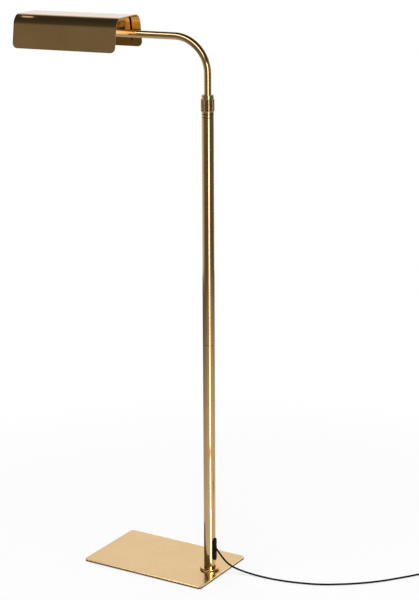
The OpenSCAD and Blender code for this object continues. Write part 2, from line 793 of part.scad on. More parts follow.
// Shade, its reflector and the bracket that carries them
module shade_shell() {
    color("#8a6a3c")
        on_arm(shade_start)
            translate([shade_axis, 0, 0])
                folded_trough(shade_w / 2, shade_h, shade_l, shade_fold_r, shade_t, shade_corner_r);
}
module stud_holes(at, up, depth) {
    for (y = [-1, 1])
        on_arm(at)
            translate([up + over, y * stud_pitch / 2, 0])
                rotate([0, -90, 0]) cylinder(d = stud_d + 2 * hole_clear, h = depth + 2 * over);
}
module reflector() {
    color("#d9a94f")
        difference() {
            on_arm(reflector_at)
                translate([reflector_up, 0, 0])
                    folded_trough(reflector_half, reflector_h, reflector_l, reflector_fold_r, reflector_t,
                                  shade_corner_r);
            for (pair = stud_pairs)
                stud_holes(pair[0], reflector_up, reflector_t);
        }
}
module shade_bracket() {
    fold = bracket_fold_r + bracket_t;
    color("#a98a4c")
        difference() {
            on_arm(bracket_at) {
                linear_extrude(bracket_t) {
                    circle(bracket_eye_r);
                    polygon([[0, -bracket_eye_r], [bracket_up - fold, -bracket_w / 2],
                             [bracket_up - fold, bracket_w / 2], [0, bracket_eye_r]]);
                }
                translate([bracket_up - fold, bracket_w / 2, fold])
                    rotate([90, 0, 0])
                        rotate([0, 0, -90])
                            rotate_extrude(angle = 90)
                                translate([bracket_fold_r, 0]) square([bracket_t, bracket_w]);
                translate([bracket_up - bracket_t, -bracket_w / 2, fold])
                    cube([bracket_t, bracket_w, bracket_foot - bracket_fold_r]);
            }
            on_arm(bracket_at - over) cylinder(d = nipple_od + 2 * turn_fit, h = bracket_t + 2 * over);
            stud_holes(near_stud, bracket_up, bracket_t);
        }
}
module shade_studs() {
    color("#8c8f92")
        for (pair = stud_pairs, y = [-1, 1])
            let (l = reflector_t + pair[1] + stud_nut_h + over)
            on_arm(pair[0])
                translate([reflector_up - l, y * stud_pitch / 2, 0])
                    rotate([0, 90, 0]) cylinder(d = stud_d, h = l);
}
module stud_nuts() {
    color("#a5a8aa")
        for (pair = stud_pairs, y = [-1, 1])
            on_arm(pair[0])
                translate([bracket_up - pair[1] - stud_nut_h, y * stud_pitch / 2, 0])
                    rotate([0, 90, 0]) hex_nut(stud_nut_w, stud_nut_h, stud_d + 2 * thread_fit);
}

// Lampholder with its turn switch, and the bulb
module holder_cap() {
    bore = nipple_od / 2 + thread_fit;
    neck = cap_neck_od / 2;
    inner = cap_r - cap_wall;
    shoulder = cap_neck_l + cap_shoulder_l;
    color("#b7975a")
        difference() {
            on_arm(cap_at)
                turned([[bore, 0], [neck, 0], [neck, cap_neck_l - cap_wall], [cap_r, shoulder - cap_wall],
                        [cap_r, cap_l], [inner, cap_l], [inner, shoulder], [neck, cap_neck_l],
                        [bore, cap_neck_l]]);
            on_arm(key_at) rotate([0, -90, 0]) cylinder(d = key_d + 2 * hole_clear, h = cap_od);
        }
}
module holder_shell() {
    color("#b7975a") on_arm(holder_at) ring_solid(holder_r - cap_wall, holder_r, holder_l);
}
module holder_core() {
    color("#eeeae0") on_arm(core_at) ring_solid(cord_r + hole_clear, core_r, core_l, tube_chamfer);
}
module screw_shell() {
    ri = bulb_cap_r + hole_clear;
    color("#c2a15e") on_arm(bulb_at) ring_solid(ri, ri + screw_shell_wall, screw_shell_l);
}
module switch_key() {
    color("#1b1917")
        on_arm(key_at)
            rotate([0, -90, 0]) {
                translate([0, 0, cap_r - key_depth]) cylinder(d = key_d, h = key_depth + key_standoff + over);
                translate([0, 0, key_out]) {
                    translate([-key_w / 2, -key_t / 2, 0]) cube([key_w, key_t, key_h - key_w / 4]);
                    translate([-key_w / 4, -key_t / 2, 0]) cube([key_w / 2, key_t, key_h]);
                    for (x = [-1, 1])
                        translate([x * key_w / 4, key_t / 2, key_h - key_w / 4])
                            rotate([90, 0, 0]) cylinder(d = key_w / 2, h = key_t);
                }
            }
}
module bulb_cap() {
    color("#c9c7bf")
        on_arm(bulb_at)
            turned([[0, 0], [contact_d / 2, 0], [contact_d / 2, contact_h],
                    [bulb_cap_r, contact_h + contact_cone_h], [bulb_cap_r, bulb_cap_l], [0, bulb_cap_l]]);
}
module glass_outline(r, neck) {
    dome = bulb_l - bulb_d / 2;
    translate([0, glass_neck_l]) square([r, dome - glass_neck_l]);
    polygon([[0, 0], [neck, 0], [r, glass_neck_l], [0, glass_neck_l]]);
    translate([0, dome])
        intersection() {
            circle(r);
            square(bulb_d);
        }
}
module bulb_glass() {
    neck = bulb_cap_r - glass_step;
    color("#fff3d8")
        on_arm(glass_at)
            rotate_extrude()
                difference() {
                    glass_outline(bulb_d / 2, neck);
                    glass_outline(bulb_d / 2 - bulb_t, neck - bulb_t);
                }
}
module bulb_filaments() {
    post_r = filament_post_d / 2;
    post_l = filament_foot_l + filament_l + filament_reach;
    color("#ffc95c")
        on_arm(glass_at) {
            cylinder(r1 = filament_foot_d / 2, r2 = filament_post_d, h = filament_foot_l);
            cylinder(r = post_r, h = post_l);
            for (k = [0 : filament_n - 1])
                rotate([0, 0, 360 * k / filament_n]) {
                    translate([filament_reach, 0, filament_foot_l]) cylinder(d = filament_d, h = filament_l);
                    for (z = [filament_foot_l, filament_foot_l + filament_l])
                        translate([0, 0, z])
                            rotate([0, 90, 0]) cylinder(d = filament_d / 2, h = filament_reach);
                }
        }
}

// Mains cord, its coil and its plug
module mains_cord() {
    color("#141414") tube(smoothed(cord_route, cord_ring_step), cord_d, cord_sides, across_route);
}
module cord_coil() {
    echo(str("least gap in the coil: ", coil_gap(coil_points, round(loop_rings * neighbour_turns)), " mm"));
    color("#141414") tube(coil_points, cord_d, coil_sides, [0, 0, 1]);
}
module cord_tie() {
    eye_r = coil_r_in - cord_r - 2 * hole_clear;
    inside = sqrt(eye_r * eye_r - tie_w * tie_w / 4);
    outside = coil_r_out + cord_r + hole_clear;
    high = coil_top + cord_r + hole_clear;
    color("#2b2b2b")
        translate([coil_at[0], coil_at[1], 0])
            rotate([0, 0, coil_out_angle - 90])
                rotate([90, 0, 0])
                    linear_extrude(tie_w, center = true)
                        difference() {
                            translate([inside - tie_t, 0])
                                square([outside - inside + 2 * tie_t, high + tie_t]);
                            translate([inside, tie_t]) square([outside - inside, high - tie_t]);
                        }
}
module cord_tail() {
    color("#141414") tube(smoothed(tail_route, cord_ring_step), cord_d, cord_sides, [0, 0, 1]);
}
module at_plug() {
    translate([plug_at[0], plug_at[1], plug_z]) rotate([0, 0, coil_out_angle - 90]) children();
}
module plug_boot() {
    step = boot_l / (boot_ribs + 1);
    slim = cord_r + boot_rib;
    color("#141414")
        at_plug()
            rotate([0, 90, 0])
                turned(concat([[0, 0], [slim, 0]],
                    [for (k = [1 : boot_ribs]) let (r = slim + boot_flare * k / (boot_ribs + 1), z = k * step)
                     each [[r, z - boot_rib], [r - boot_rib, z - boot_rib],
                           [r - boot_rib, z + boot_rib], [r, z + boot_rib]]],
                    [[slim + boot_flare, boot_l], [0, boot_l]]));
}
module plug_half() {
    half = plug_w / 2;
    side = plug_h / 2;
    intersection() {
        linear_extrude(plug_h, center = true)
            polygon([[0, 0], [0, plug_neck_w / 2], [plug_grip_at, plug_grip_w / 2],
                     [plug_l - plug_face_l, half], [plug_l, half], [plug_l, 0]]);
        rotate([90, 0, 90])
            linear_extrude(plug_l)
                polygon([[0, -side], [half - plug_chamfer, -side], [half, plug_chamfer - side],
                         [half, side - plug_chamfer], [half - plug_chamfer, side], [0, side]]);
    }
}
module plug_body() {
    color("#141414")
        at_plug()
            translate([boot_l, 0, 0])
                for (side = [0, 1])
                    mirror([0, side, 0]) plug_half();
}
module plug_pins() {
    color("#c8c8c4")
        at_plug()
            for (y = [-1, 1])
                translate([boot_l + plug_l, y * pin_pitch / 2, 0])
                    rotate([0, 90, 0])
                        turned([[0, 0], [pin_d / 2, 0], [pin_d / 2, pin_l - pin_nose],
                                [pin_d / 2 - pin_nose, pin_l], [0, pin_l]]);
}

base_plate();
base_felt();
foot_flange();
foot_plug();
foot_screw();
lower_column();
column_coupler();
upper_column();
column_ferrule();
split_collet();
clamp_nut();
cord_grommet();
column_lead();
stem_guide();
arm_tube();
guide_collar();
stem_stop();
arm_lead();
swivel_hub();
swivel_nipple();
friction_washers();
spring_washer();
swivel_nut();
shade_shell();
reflector();
shade_bracket();
shade_studs();
stud_nuts();
holder_cap();
holder_shell();
holder_core();
screw_shell();
switch_key();
bulb_cap();
bulb_glass();
bulb_filaments();
mains_cord();
cord_coil();
cord_tie();
cord_tail();
plug_boot();
plug_body();
plug_pins();
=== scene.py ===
import json
import math

import bmesh
import bpy
from mathutils import Matrix, Vector


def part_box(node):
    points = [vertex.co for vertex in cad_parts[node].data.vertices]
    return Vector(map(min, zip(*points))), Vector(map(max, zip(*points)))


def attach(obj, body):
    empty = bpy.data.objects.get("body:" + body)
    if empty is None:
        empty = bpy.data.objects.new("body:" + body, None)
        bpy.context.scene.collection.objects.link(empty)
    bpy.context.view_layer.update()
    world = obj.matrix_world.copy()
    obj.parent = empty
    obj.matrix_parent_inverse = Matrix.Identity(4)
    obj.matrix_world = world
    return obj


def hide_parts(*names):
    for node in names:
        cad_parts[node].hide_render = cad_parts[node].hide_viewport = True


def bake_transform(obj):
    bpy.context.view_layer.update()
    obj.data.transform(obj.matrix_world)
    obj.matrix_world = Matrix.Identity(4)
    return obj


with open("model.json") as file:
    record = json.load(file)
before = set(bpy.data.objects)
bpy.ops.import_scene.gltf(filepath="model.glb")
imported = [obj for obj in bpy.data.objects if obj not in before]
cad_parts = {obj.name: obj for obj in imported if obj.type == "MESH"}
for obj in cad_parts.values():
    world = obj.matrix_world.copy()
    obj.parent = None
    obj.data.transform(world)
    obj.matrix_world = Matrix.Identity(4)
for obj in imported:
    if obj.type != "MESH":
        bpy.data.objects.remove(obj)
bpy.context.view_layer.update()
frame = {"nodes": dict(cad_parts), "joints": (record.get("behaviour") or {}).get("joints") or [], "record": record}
mm = 0.001
weld = 1e-6  # points closer than this are one
nearlyLevel = 0.1 * mm

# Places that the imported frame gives
nodes = frame["nodes"]
record = frame["record"]
joints = {joint["name"]: joint for joint in frame["joints"]}
slotOf = {part["node"]: part["material_slot"] for part in record["subparts"]}
bodyOf = {node: body for body, members in record["behaviour"]["bodies"].items() for node in members}
armOut = Vector(joints["shade_tilt"]["axis"])  # level, out along the arm
armZ = joints["shade_tilt"]["pos_m"][2]
armTurn = math.atan2(-armOut.y, -armOut.x)

# The arm's own directions: x is up, y is sideways and z runs out along the arm
armSquare = Matrix.Rotation(armTurn, 4, "Z") @ Matrix.Rotation(math.radians(-90), 4, "Y")
alongArm = Matrix.Translation((0, 0, armZ)) @ armSquare


def boxAlongArm(node):
    # a node's lowest and highest corners in the arm's own directions
    back = alongArm.inverted()
    places = [back @ vertex.co for vertex in nodes[node].data.vertices]
    return [Vector([pick(place[axis] for place in places) for axis in range(3)]) for pick in (min, max)]


# Camera, fitted to the photograph's frame
view = {"place": (1.8060, -2.9937, 1.5586), "yaw": 31.07, "dip": 15.26, "roll": -0.27, "lens": 105.33,
        "sensor": 36}


def placeCamera():
    data = bpy.data.cameras.new("camera")
    data.lens = view["lens"]
    data.sensor_width = view["sensor"]
    camera = bpy.data.objects.new("camera", data)
    bpy.context.scene.collection.objects.link(camera)
    yaw = Matrix.Rotation(math.radians(view["yaw"]), 4, "Z")
    tip = Matrix.Rotation(math.radians(90 - view["dip"]), 4, "X")
    roll = Matrix.Rotation(math.radians(view["roll"]), 4, "Z")
    camera.matrix_world = Matrix.Translation(view["place"]) @ yaw @ tip @ roll
    bpy.context.scene.camera = camera


placeCamera()
print("camera placed")


# Node helpers
def newMaterial(name):
    material = bpy.data.materials.new(name)
    material.use_nodes = True
    shader = material.node_tree.nodes["Principled BSDF"]
    return material, material.node_tree, shader


def addNode(tree, kind, **settings):
    node = tree.nodes.new(kind)
    for key, value in settings.items():
        setattr(node, key, value)
    return node


evenly = (1, 1, 1)  # noise that isn't drawn out


def grainNoise(tree, stretch, scale, detail, rough=0.6):
    # noise on the piece's own coordinates, drawn out along its grain
    place = addNode(tree, "ShaderNodeTexCoord")
    mapping = addNode(tree, "ShaderNodeMapping")
    mapping.inputs["Scale"].default_value = stretch
    noise = addNode(tree, "ShaderNodeTexNoise")
    noise.inputs["Scale"].default_value = scale
    noise.inputs["Detail"].default_value = detail
    noise.inputs["Roughness"].default_value = rough
    tree.links.new(place.outputs["Object"], mapping.inputs["Vector"])
    tree.links.new(mapping.outputs["Vector"], noise.inputs["Vector"])
    return noise.outputs["Fac"]


def between(tree, value, low, high, fromLow=0.3, fromHigh=0.7):
    ranged = addNode(tree, "ShaderNodeMapRange")
    ranged.inputs["From Min"].default_value = fromLow
    ranged.inputs["From Max"].default_value = fromHigh
    ranged.inputs["To Min"].default_value = low
    ranged.inputs["To Max"].default_value = high
    tree.links.new(value, ranged.inputs["Value"])
    return ranged.outputs["Result"]


def blendColours(tree, amount, first, second):
    mix = addNode(tree, "ShaderNodeMix", data_type="RGBA")
    mix.inputs["A"].default_value = (*first, 1)
    mix.inputs["B"].default_value = (*second, 1)
    tree.links.new(amount, mix.inputs["Factor"])
    return mix.outputs["Result"]


def addBump(tree, shader, height, strength, depth):
    bump = addNode(tree, "ShaderNodeBump")
    bump.inputs["Strength"].default_value = strength
    bump.inputs["Distance"].default_value = depth
    tree.links.new(height, bump.inputs["Height"])
    if shader.inputs["Normal"].is_linked:
        tree.links.new(shader.inputs["Normal"].links[0].from_socket, bump.inputs["Normal"])
    tree.links.new(bump.outputs["Normal"], shader.inputs["Normal"])


# Metals: a clean and a toned colour in clouds, fine scratches along the grain, and a slow unevenness
metals = {
    # plate_brass: below foot its sides take painted shade
    "plate_brass": {"clean": (0.86, 0.60, 0.295), "toned": (0.80, 0.545, 0.255), "rough": (0.16, 0.30),
                    "grain": (4, 220, 60), "scratch": 0.03, "wave": 0.01, "foot": (3.5 * mm, 3.8 * mm)},
    "flange_brass": {"clean": (0.82, 0.56, 0.26), "toned": (0.74, 0.48, 0.21), "rough": (0.14, 0.22),
                     "grain": (90, 90, 30), "scratch": 0.02, "wave": 0.01},
    "satin_brass": {"clean": (0.64, 0.41, 0.18), "toned": (0.55, 0.34, 0.14), "rough": (0.09, 0.15),
                    "grain": (160, 160, 5), "scratch": 0.003, "wave": 0.004, "lacquer": 0.5},
    "arm_brass": {"clean": (0.70, 0.475, 0.205), "toned": (0.62, 0.405, 0.16), "rough": (0.08, 0.14),
                  "grain": (90, 90, 40), "scratch": 0.003, "wave": 0.004, "lacquer": 0.5},
    "shade_brass": {"clean": (0.66, 0.43, 0.18), "toned": (0.58, 0.36, 0.14), "rough": (0.10, 0.16),
                    "grain": (8, 60, 140), "scratch": 0.015, "wave": 0.03, "lacquer": 0.3},
    "reflector_brass": {"clean": (0.80, 0.45, 0.11), "toned": (0.68, 0.35, 0.07), "rough": (0.10, 0.15),
                        "grain": (8, 60, 140), "scratch": 0.02, "wave": 0.03},
    "inner_brass": {"clean": (0.64, 0.43, 0.19), "toned": (0.50, 0.32, 0.13), "rough": (0.18, 0.30),
                    "grain": (80, 80, 80), "scratch": 0.012, "wave": 0.005},
    "steel": {"clean": (0.58, 0.58, 0.57), "toned": (0.44, 0.44, 0.44), "rough": (0.25, 0.40),
              "grain": (120, 120, 120), "scratch": 0.05, "wave": 0.02},
    "pin_metal": {"clean": (0.72, 0.71, 0.67), "toned": (0.60, 0.58, 0.54), "rough": (0.14, 0.26),
                  "grain": (120, 120, 60), "scratch": 0.05, "wave": 0.02},
    # painted shade: the knurl's sunk flute faces are dark
    "painted_shade_knurl": {"clean": (0.20, 0.13, 0.058), "toned": (0.13, 0.083, 0.038), "rough": (0.20, 0.34),
                    "grain": (80, 80, 80), "scratch": 0.03, "wave": 0.01},
    # painted shade: the ferrule's seam and groove are dark
    "painted_shade_groove": {"clean": (0.15, 0.095, 0.045), "toned": (0.09, 0.058, 0.028), "rough": (0.35, 0.55),
                    "grain": (80, 80, 80), "scratch": 0.03, "wave": 0.01},
    # worn brass on edges, also a painted highlight along rims and sheet edges
    "worn_and_highlit_edge": {"clean": (0.90, 0.68, 0.38), "toned": (0.82, 0.58, 0.29), "rough": (0.12, 0.22),
                  "grain": (60, 60, 60), "scratch": 0.04, "wave": 0.02},
}
metalGrain = {"clouds": (9.0, 5.0), "fine": (9.0, 3.0), "wave": (14.0, 1.0), "scratchDeep": 0.0004,
              "waveDeep": 0.004, "lacquerRough": 0.06}  # noises are scale and detail
# painted shade for the plate's lower sides
paintedShade = (0.055, 0.037, 0.018)


def metalFinish(name):
    look = metals[name]
    material, tree, shader = newMaterial(name)
    shader.inputs["Metallic"].default_value = 1.0
    shader.inputs["Coat Weight"].default_value = look.get("lacquer", 0.0)
    shader.inputs["Coat Roughness"].default_value = metalGrain["lacquerRough"]
    clouds = grainNoise(tree, evenly, *metalGrain["clouds"])
    colour = blendColours(tree, between(tree, clouds, 0, 1), look["clean"], look["toned"])
    if "foot" in look:
        # painted shade: the plate's sides darken towards the floor
        place = addNode(tree, "ShaderNodeTexCoord")
        split = addNode(tree, "ShaderNodeSeparateXYZ")
        tree.links.new(place.outputs["Object"], split.inputs["Vector"])
        foot = addNode(tree, "ShaderNodeMix", data_type="RGBA")
        foot.inputs["A"].default_value = (*paintedShade, 1)
        tree.links.new(between(tree, split.outputs["Z"], 0, 1, *look["foot"]), foot.inputs["Factor"])
        tree.links.new(colour, foot.inputs["B"])
        colour = foot.outputs["Result"]
    tree.links.new(colour, shader.inputs["Base Color"])
    fine = grainNoise(tree, look["grain"], *metalGrain["fine"])
    tree.links.new(between(tree, fine, *look["rough"]), shader.inputs["Roughness"])
    addBump(tree, shader, fine, look["scratch"], metalGrain["scratchDeep"])
    addBump(tree, shader, grainNoise(tree, evenly, *metalGrain["wave"]), look["wave"], metalGrain["waveDeep"])
    return material


# Rubber, plastics, felt, porcelain: two tones in clouds over a fine surface
plainFinishes = {
    "black_rubber": {"clean": (0.004, 0.004, 0.004), "toned": (0.008, 0.008, 0.007), "rough": (0.46, 0.66),
                     "scale": 900.0, "bump": 0.12, "gloss": 0.1},
    "black_plastic": {"clean": (0.008, 0.008, 0.008), "toned": (0.016, 0.016, 0.015), "rough": (0.32, 0.5),
                      "scale": 1400.0, "bump": 0.10, "gloss": 0.3},
    "nylon": {"clean": (0.74, 0.71, 0.63), "toned": (0.64, 0.60, 0.50), "rough": (0.35, 0.5),
              "scale": 600.0, "bump": 0.06},
    "fibre": {"clean": (0.16, 0.09, 0.05), "toned": (0.10, 0.055, 0.03), "rough": (0.6, 0.8),
              "scale": 800.0, "bump": 0.2},
    "felt": {"clean": (0.012, 0.010, 0.009), "toned": (0.03, 0.026, 0.022), "rough": (0.85, 1.0),
             "scale": 1200.0, "bump": 0.6},
    "porcelain": {"clean": (0.80, 0.77, 0.70), "toned": (0.74, 0.70, 0.62), "rough": (0.12, 0.22),
                  "scale": 300.0, "bump": 0.03},
    "filament": {"clean": (0.85, 0.55, 0.10), "toned": (0.75, 0.42, 0.06), "rough": (0.45, 0.6),
                 "scale": 900.0, "bump": 0.1},
}
plainGrain = {"clouds": (60.0, 5.0), "detail": 3.0, "deep": 0.0003}


def plainFinish(name):
    look = plainFinishes[name]
    material, tree, shader = newMaterial(name)
    shader.inputs["Specular IOR Level"].default_value = look.get("gloss", 0.5)
    clouds = grainNoise(tree, evenly, *plainGrain["clouds"])
    tree.links.new(blendColours(tree, between(tree, clouds, 0, 1), look["clean"], look["toned"]),
                   shader.inputs["Base Color"])
    fine = grainNoise(tree, evenly, look["scale"], plainGrain["detail"])
    tree.links.new(between(tree, fine, *look["rough"]), shader.inputs["Roughness"])
    addBump(tree, shader, fine, look["bump"], plainGrain["deep"])
    return material


# Bulb glass: clear, a little warm and smeared
clearGlass = {"ior": 1.47, "smear": (40.0, 4.0), "clean": (0.99, 0.97, 0.93), "toned": (0.95, 0.92, 0.86),
              "rough": (0.01, 0.06)}


def glassFinish():
    material, tree, shader = newMaterial("glass")
    shader.inputs["Transmission Weight"].default_value = 1.0
    shader.inputs["IOR"].default_value = clearGlass["ior"]
    smear = grainNoise(tree, evenly, *clearGlass["smear"])
    tree.links.new(blendColours(tree, between(tree, smear, 0, 1), clearGlass["clean"], clearGlass["toned"]),
                   shader.inputs["Base Color"])
    tree.links.new(between(tree, smear, *clearGlass["rough"]), shader.inputs["Roughness"])
    return material


finishes = {name: metalFinish(name) for name in metals}
finishes.update({name: plainFinish(name) for name in plainFinishes})
finishes["glass"] = glassFinish()
print("finishes mixed:", len(finishes))


# Mains cord: the CAD route in metres, one smooth curve from the column to the plug
cord = {"thick": 0.004, "exit": (0.0125, -0.0006, 0.0602), "leave": (0.014, 0, 0.0578), "dip": 56, "turn": 23,
        "run": 0.008, "lead": 0.086, "inside": (0.0025, -0.001, 0.0745), "roundSteps": 4,
        "fall": [(0.027, 0.006, 0.0362), (0.038, 0.010, 0.023), (0.047, 0.013, 0.0165),
                 (0.064, 0.018, 0.0095), (0.086, 0.023, 0.0045)],
        "floor": [(0.121, 0.026, 0.002), (0.156, 0.029, 0.002), (0.199, 0.039, 0.002),
                  (0.239, 0.054, 0.002), (0.275, 0.076, 0.002), (0.309, 0.102, 0.002),
                  (0.341, 0.133, 0.002), (0.370, 0.169, 0.002), (0.397, 0.205, 0.0024)]}
coil = {"at": (0.436, 0.207), "in": 142, "out": 15, "layers": 4, "whole": 11, "inner": 0.017,
        "step": 0.0045, "low": 0.003, "perTurn": 24, "climb": 0.5}
tail = {"run": 0.044, "plugZ": 0.0068, "fall": [(0.012, 0.0154), (0.022, 0.0114), (0.032, 0.0078)]}


def heading(angle):
    return Vector((math.sin(math.radians(angle)), -math.cos(math.radians(angle)), 0))


def onCoil(angle, radius, z):
    turn = math.radians(angle)
    return Vector((coil["at"][0] + radius * math.cos(turn), coil["at"][1] + radius * math.sin(turn), z))


def easeIn(amount):
    held = min(max(amount, 0), 1)
    return held * held * (3 - 2 * held)


coilTurns = coil["whole"] + (coil["in"] - coil["out"]) / 360
sweepTurns = coilTurns / coil["layers"]
coilOuter = coil["inner"] + coil["step"] * sweepTurns
coilTop = coil["low"] + coil["step"] * (coil["layers"] - 1)
coilStart = onCoil(coil["in"], coilOuter, coil["low"]) - cord["thick"] * heading(coil["in"])
coilEnd = onCoil(coil["out"], coilOuter, coilTop) + cord["thick"] * heading(coil["out"])


def coilPoint(turns):
    # layers wind inwards and outwards by turns, with an eased climb between them
    sweep, part = divmod(turns / sweepTurns, 1)
    inwards = part if sweep % 2 == 0 else 1 - part
    climbed = sum(easeIn((turns - k * sweepTurns) / coil["climb"] + 0.5) for k in range(1, coil["layers"]))
    return onCoil(coil["in"] - 360 * turns, coilOuter - coil["step"] * sweepTurns * inwards,
                  coil["low"] + coil["step"] * climbed)


def cordLeaving():
    dip, turn = math.radians(cord["dip"]), math.radians(cord["turn"])
    return Vector((math.cos(dip) * math.cos(turn), math.cos(dip) * math.sin(turn), -math.sin(dip)))


def cordRoute():
    leaving = cordLeaving()
    leave = Vector(cord["leave"])
    thick = cord["thick"]
    route = [(0, 0, cord["lead"]), (0, 0, cord["lead"] - thick), cord["inside"],
             leave - cord["run"] * leaving, leave + cord["run"] * leaving, *cord["fall"], *cord["floor"],
             coilStart - thick * heading(coil["in"]), coilStart]
    rings = round(coilTurns * coil["perTurn"])
    route += [coilPoint(coilTurns * k / rings) for k in range(rings + 1)]
    lowering = [(0, coilTop), (thick, coilTop), *tail["fall"],
                (tail["run"] - thick, tail["plugZ"]), (tail["run"], tail["plugZ"])]
    for run, z in lowering:
        place = coilEnd + run * heading(coil["out"])
        route.append((place.x, place.y, z))
    return [Vector(point) for point in route]


def layCord():
    data = bpy.data.curves.new("mainsCord", "CURVE")
    data.dimensions = "3D"
    data.bevel_depth = cord["thick"] / 2
    data.bevel_resolution = cord["roundSteps"]
    data.resolution_u = cord["roundSteps"]
    data.use_fill_caps = True
    route = cordRoute()
    spline = data.splines.new("BEZIER")
    spline.bezier_points.add(len(route) - 1)
    for knot, place in zip(spline.bezier_points, route):
        knot.co = place
        knot.handle_left_type = "AUTO"
        knot.handle_right_type = "AUTO"
    data.materials.append(finishes["black_rubber"])
    piece = bpy.data.objects.new("mainsCord", data)
    bpy.context.scene.collection.objects.link(piece)
    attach(piece, "stand")
    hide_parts("mains_cord", "cord_coil", "cord_tail")
    return piece, route


mainsCord, mainsRoute = layCord()


# Mesh helpers
turnSteps = 72


def turnedPiece(profile):
    # a closed profile of (radius, height) pairs, turned about the upright axis
    bm = bmesh.new()
    ring = [bm.verts.new((radius, 0, height)) for radius, height in profile]
    edges = [bm.edges.new(pair) for pair in zip(ring, ring[1:] + ring[:1])]
    bmesh.ops.spin(bm, geom=ring + edges, cent=(0, 0, 0), axis=(0, 0, 1), angle=2 * math.pi, steps=turnSteps,
                   use_merge=True, use_duplicate=False)
    bmesh.ops.remove_doubles(bm, verts=bm.verts, dist=weld)
    bmesh.ops.recalc_face_normals(bm, faces=bm.faces)
    return bm


def easeEdges(bm, edges, width, segments=2, wornAndHighlit=False):
    made = bmesh.ops.bevel(bm, geom=edges, offset=width, offset_type="OFFSET", affect="EDGES",
                           segments=segments, profile=0.5, material=-1, clamp_overlap=True)
    # bevel faces take the second finish: worn brass with a painted highlight
    if wornAndHighlit:
        for face in made["faces"]:
            face.material_index = 1


def sharpEdges(bm, angle):
    limit = math.radians(angle)
    return [edge for edge in bm.edges if len(edge.link_faces) == 2 and edge.calc_face_angle(0) > limit]


def boundaryEdges(geometry):
    return [item for item in geometry if isinstance(item, bmesh.types.BMEdge) and item.is_boundary]


def pointsOf(geometry):
    return [item for item in geometry if isinstance(item, bmesh.types.BMVert)]


def ringEdges(made):
    # a new circle's edges, each once and in order
    return list(dict.fromkeys(edge for vertex in made["verts"] for edge in vertex.link_edges))


def bridgeRings(bm, loops):
    # skin from ring to ring, and from the last back to the first
    for lower, upper in zip(loops, loops[1:] + loops[:1]):
        bmesh.ops.bridge_loops(bm, edges=lower + upper)
    bmesh.ops.recalc_face_normals(bm, faces=bm.faces)


def finishPiece(name, bm, body, *replaced, sharp=32, looks=()):
    mesh = bpy.data.meshes.new(name)
    bm.to_mesh(mesh)
    bm.free()
    if "custom_normal" in mesh.attributes:
        mesh.attributes.remove(mesh.attributes["custom_normal"])
    mesh.shade_smooth()
    mesh.set_sharp_from_angle(angle=math.radians(sharp))
    slot = slotOf[replaced[0]]
    for look in looks or (slot,):
        mesh.materials.append(finishes[look])
    piece = bpy.data.objects.new(name, mesh)
    bpy.context.scene.collection.objects.link(piece)
    if isinstance(body, str):
        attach(piece, body)
    else:
        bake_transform(piece)
    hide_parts(*replaced)
    return piece


copyWork = {"flat": 1, "broken": 40}  # degrees: flatter faces are joined, sharper edges are broken


def easedCopy(name, node, ease=0.0):
    # a CAD node's own shape, merged, with its sharp edges broken
    bm = bmesh.new()
    bm.from_mesh(nodes[node].data)
    bmesh.ops.remove_doubles(bm, verts=bm.verts, dist=2 * weld)
    bmesh.ops.dissolve_degenerate(bm, edges=bm.edges, dist=weld)
    if ease:
        flat = math.radians(copyWork["flat"])
        bmesh.ops.dissolve_limit(bm, angle_limit=flat, verts=bm.verts, edges=bm.edges)
        easeEdges(bm, sharpEdges(bm, copyWork["broken"]), ease)
    return finishPiece(name, bm, bodyOf[node], node)


# Base plate: a rounded slab whose rim is worn brass and a painted highlight, with painted shade on its sides
# towards the floor
plate = {"corner": 7 * mm, "cornerSteps": 10, "rim": 0.9 * mm, "rimSteps": 3, "sharp": 14}


def makePlate():
    low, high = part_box("base_plate")
    bm = bmesh.new()
    bmesh.ops.create_cube(bm, size=1.0)
    bmesh.ops.scale(bm, vec=high - low, verts=bm.verts)
    bmesh.ops.translate(bm, vec=(low + high) / 2, verts=bm.verts)
    upright = [edge for edge in bm.edges if abs(edge.verts[0].co.z - edge.verts[1].co.z) > nearlyLevel]
    easeEdges(bm, upright, plate["corner"], plate["cornerSteps"])
    top = [edge for edge in bm.edges if min(vertex.co.z for vertex in edge.verts) > high.z - nearlyLevel]
    easeEdges(bm, top, plate["rim"], plate["rimSteps"], wornAndHighlit=True)
    return finishPiece("basePlate", bm, "stand", "base_plate", sharp=plate["sharp"],
                       looks=("plate_brass", "worn_and_highlit_edge"))


makePlate()


# Foot flange and the column's turned ring
flange = {"round": 0.8 * mm, "roundSteps": 3, "corner": 60, "gap": 0.05 * mm}
ferrule = {"grooveAt": 6.4 * mm, "grooveWide": 1.2 * mm, "grooveDeep": 0.8 * mm, "seamWide": 1.0 * mm,
           "seamDeep": 0.7 * mm, "shoulder": 12 * mm, "chamfer": 0.3 * mm, "spigotR": 10.5 * mm,
           "boreR": 7.9 * mm, "tubeWall": 1.6 * mm, "lip": 1 * mm, "skin": 0.05 * mm}
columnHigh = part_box("upper_column")[1]
columnR = columnHigh.x


def makeFlange():
    low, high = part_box("foot_flange")
    rim, bore = high.x, columnR + flange["gap"]
    bm = turnedPiece([(bore, low.z), (rim, low.z), (rim, high.z), (bore, high.z)])
    easeEdges(bm, sharpEdges(bm, flange["corner"]), flange["round"], flange["roundSteps"])
    return finishPiece("footFlange", bm, "stand", "foot_flange", looks=("flange_brass",))


